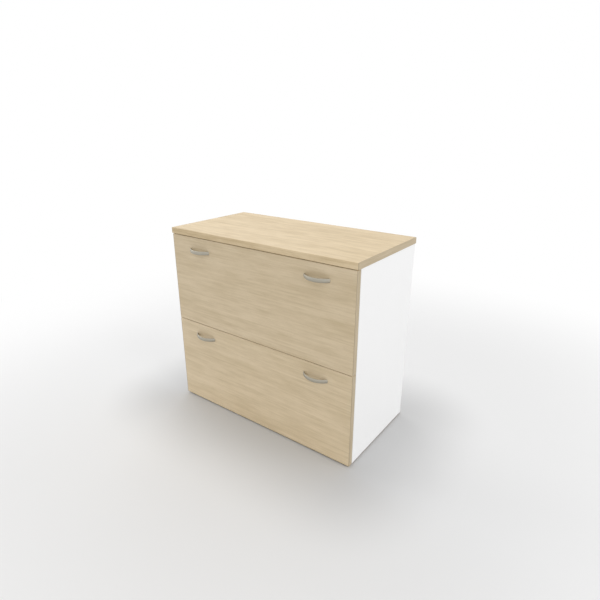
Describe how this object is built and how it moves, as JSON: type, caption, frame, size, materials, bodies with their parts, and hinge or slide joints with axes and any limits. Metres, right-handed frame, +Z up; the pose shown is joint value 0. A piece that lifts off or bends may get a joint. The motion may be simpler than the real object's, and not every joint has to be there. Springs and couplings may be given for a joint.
{
  "type": "filing cabinet",
  "caption": "Low lateral filing cabinet: oak top and full-width drawer fronts on a white carcass, bow handles, and drawers on telescopic ball runners with suspension file rails.",
  "frame": {"origin": "on the floor, under the centre of the whole cabinet's bounding box, handles included", "axes": "+X along the width to the user's right, +Y from the drawer fronts to the back, +Z up; the drawers open towards -Y"},
  "size_m": [0.8, 0.416, 0.708],
  "materials": {
    "light_oak": "light oak melamine on chipboard, satin",
    "white_board": "white melamine on chipboard, satin",
    "handle_metal": "satin nickel",
    "runner_steel": "zinc plated",
    "rail_aluminium": "mill finish",
    "clear_bumper": "soft clear plastic",
    "glide_plastic": "moulded, dark grey"
  },
  "bodies": {
    "carcass": {"top_panel": "light_oak", "side_panel_left": "white_board", "side_panel_right": "white_board", "bottom_panel": "white_board", "back_panel": "white_board", "top_rail_front": "white_board", "top_rail_back": "white_board", "glide_front_left": "glide_plastic", "glide_front_right": "glide_plastic", "glide_back_left": "glide_plastic", "glide_back_right": "glide_plastic", "lower_runner_outer_left": "runner_steel", "lower_runner_outer_right": "runner_steel", "upper_runner_outer_left": "runner_steel", "upper_runner_outer_right": "runner_steel"},
    "lower_drawer": {"lower_drawer_front": "light_oak", "lower_box_front": "white_board", "lower_box_back": "white_board", "lower_box_left": "white_board", "lower_box_right": "white_board", "lower_box_bottom": "white_board", "lower_file_rail_left": "rail_aluminium", "lower_file_rail_centre": "rail_aluminium", "lower_file_rail_right": "rail_aluminium", "lower_handle_left": "handle_metal", "lower_handle_right": "handle_metal", "lower_bumper_left": "clear_bumper", "lower_bumper_right": "clear_bumper", "lower_runner_inner_left": "runner_steel", "lower_runner_inner_right": "runner_steel"},
    "upper_drawer": {"upper_drawer_front": "light_oak", "upper_box_front": "white_board", "upper_box_back": "white_board", "upper_box_left": "white_board", "upper_box_right": "white_board", "upper_box_bottom": "white_board", "upper_file_rail_left": "rail_aluminium", "upper_file_rail_centre": "rail_aluminium", "upper_file_rail_right": "rail_aluminium", "upper_handle_left": "handle_metal", "upper_handle_right": "handle_metal", "upper_bumper_left": "clear_bumper", "upper_bumper_right": "clear_bumper", "upper_runner_inner_left": "runner_steel", "upper_runner_inner_right": "runner_steel"},
    "lower_middle_member_left": {"lower_runner_middle_left": "runner_steel"},
    "lower_middle_member_right": {"lower_runner_middle_right": "runner_steel"},
    "lower_outer_cage_left": {"lower_ball_cage_outer_left": "runner_steel"},
    "lower_outer_cage_right": {"lower_ball_cage_outer_right": "runner_steel"},
    "lower_inner_cage_left": {"lower_ball_cage_inner_left": "runner_steel"},
    "lower_inner_cage_right": {"lower_ball_cage_inner_right": "runner_steel"},
    "upper_middle_member_left": {"upper_runner_middle_left": "runner_steel"},
    "upper_middle_member_right": {"upper_runner_middle_right": "runner_steel"},
    "upper_outer_cage_left": {"upper_ball_cage_outer_left": "runner_steel"},
    "upper_outer_cage_right": {"upper_ball_cage_outer_right": "runner_steel"},
    "upper_inner_cage_left": {"upper_ball_cage_inner_left": "runner_steel"},
    "upper_inner_cage_right": {"upper_ball_cage_inner_right": "runner_steel"}
  },
  "joints": [
    {"name": "lower_drawer_slide", "type": "slide", "parent": "carcass", "child": "lower_drawer", "axis": [0, -1, 0], "range_m": [0, 0.35]},
    {"name": "upper_drawer_slide", "type": "slide", "parent": "carcass", "child": "upper_drawer", "axis": [0, -1, 0], "range_m": [0, 0.35]},
    {"name": "lower_middle_left_slide", "type": "slide", "parent": "carcass", "child": "lower_middle_member_left", "axis": [0, -1, 0], "range_m": [0, 0.175]},
    {"name": "lower_middle_right_slide", "type": "slide", "parent": "carcass", "child": "lower_middle_member_right", "axis": [0, -1, 0], "range_m": [0, 0.175]},
    {"name": "lower_outer_cage_left_slide", "type": "slide", "parent": "carcass", "child": "lower_outer_cage_left", "axis": [0, -1, 0], "range_m": [0, 0.0875]},
    {"name": "lower_outer_cage_right_slide", "type": "slide", "parent": "carcass", "child": "lower_outer_cage_right", "axis": [0, -1, 0], "range_m": [0, 0.0875]},
    {"name": "lower_inner_cage_left_slide", "type": "slide", "parent": "carcass", "child": "lower_inner_cage_left", "axis": [0, -1, 0], "range_m": [0, 0.2625]},
    {"name": "lower_inner_cage_right_slide", "type": "slide", "parent": "carcass", "child": "lower_inner_cage_right", "axis": [0, -1, 0], "range_m": [0, 0.2625]},
    {"name": "upper_middle_left_slide", "type": "slide", "parent": "carcass", "child": "upper_middle_member_left", "axis": [0, -1, 0], "range_m": [0, 0.175]},
    {"name": "upper_middle_right_slide", "type": "slide", "parent": "carcass", "child": "upper_middle_member_right", "axis": [0, -1, 0], "range_m": [0, 0.175]},
    {"name": "upper_outer_cage_left_slide", "type": "slide", "parent": "carcass", "child": "upper_outer_cage_left", "axis": [0, -1, 0], "range_m": [0, 0.0875]},
    {"name": "upper_outer_cage_right_slide", "type": "slide", "parent": "carcass", "child": "upper_outer_cage_right", "axis": [0, -1, 0], "range_m": [0, 0.0875]},
    {"name": "upper_inner_cage_left_slide", "type": "slide", "parent": "carcass", "child": "upper_inner_cage_left", "axis": [0, -1, 0], "range_m": [0, 0.2625]},
    {"name": "upper_inner_cage_right_slide", "type": "slide", "parent": "carcass", "child": "upper_inner_cage_right", "axis": [0, -1, 0], "range_m": [0, 0.2625]}
  ],
  "couplings": [
    {"joint": "lower_middle_left_slide", "follows": "lower_drawer_slide", "ratio": 0.5},
    {"joint": "lower_middle_right_slide", "follows": "lower_drawer_slide", "ratio": 0.5},
    {"joint": "lower_outer_cage_left_slide", "follows": "lower_drawer_slide", "ratio": 0.25},
    {"joint": "lower_outer_cage_right_slide", "follows": "lower_drawer_slide", "ratio": 0.25},
    {"joint": "lower_inner_cage_left_slide", "follows": "lower_drawer_slide", "ratio": 0.75},
    {"joint": "lower_inner_cage_right_slide", "follows": "lower_drawer_slide", "ratio": 0.75},
    {"joint": "upper_middle_left_slide", "follows": "upper_drawer_slide", "ratio": 0.5},
    {"joint": "upper_middle_right_slide", "follows": "upper_drawer_slide", "ratio": 0.5},
    {"joint": "upper_outer_cage_left_slide", "follows": "upper_drawer_slide", "ratio": 0.25},
    {"joint": "upper_outer_cage_right_slide", "follows": "upper_drawer_slide", "ratio": 0.25},
    {"joint": "upper_inner_cage_left_slide", "follows": "upper_drawer_slide", "ratio": 0.75},
    {"joint": "upper_inner_cage_right_slide", "follows": "upper_drawer_slide", "ratio": 0.75}
  ]
}
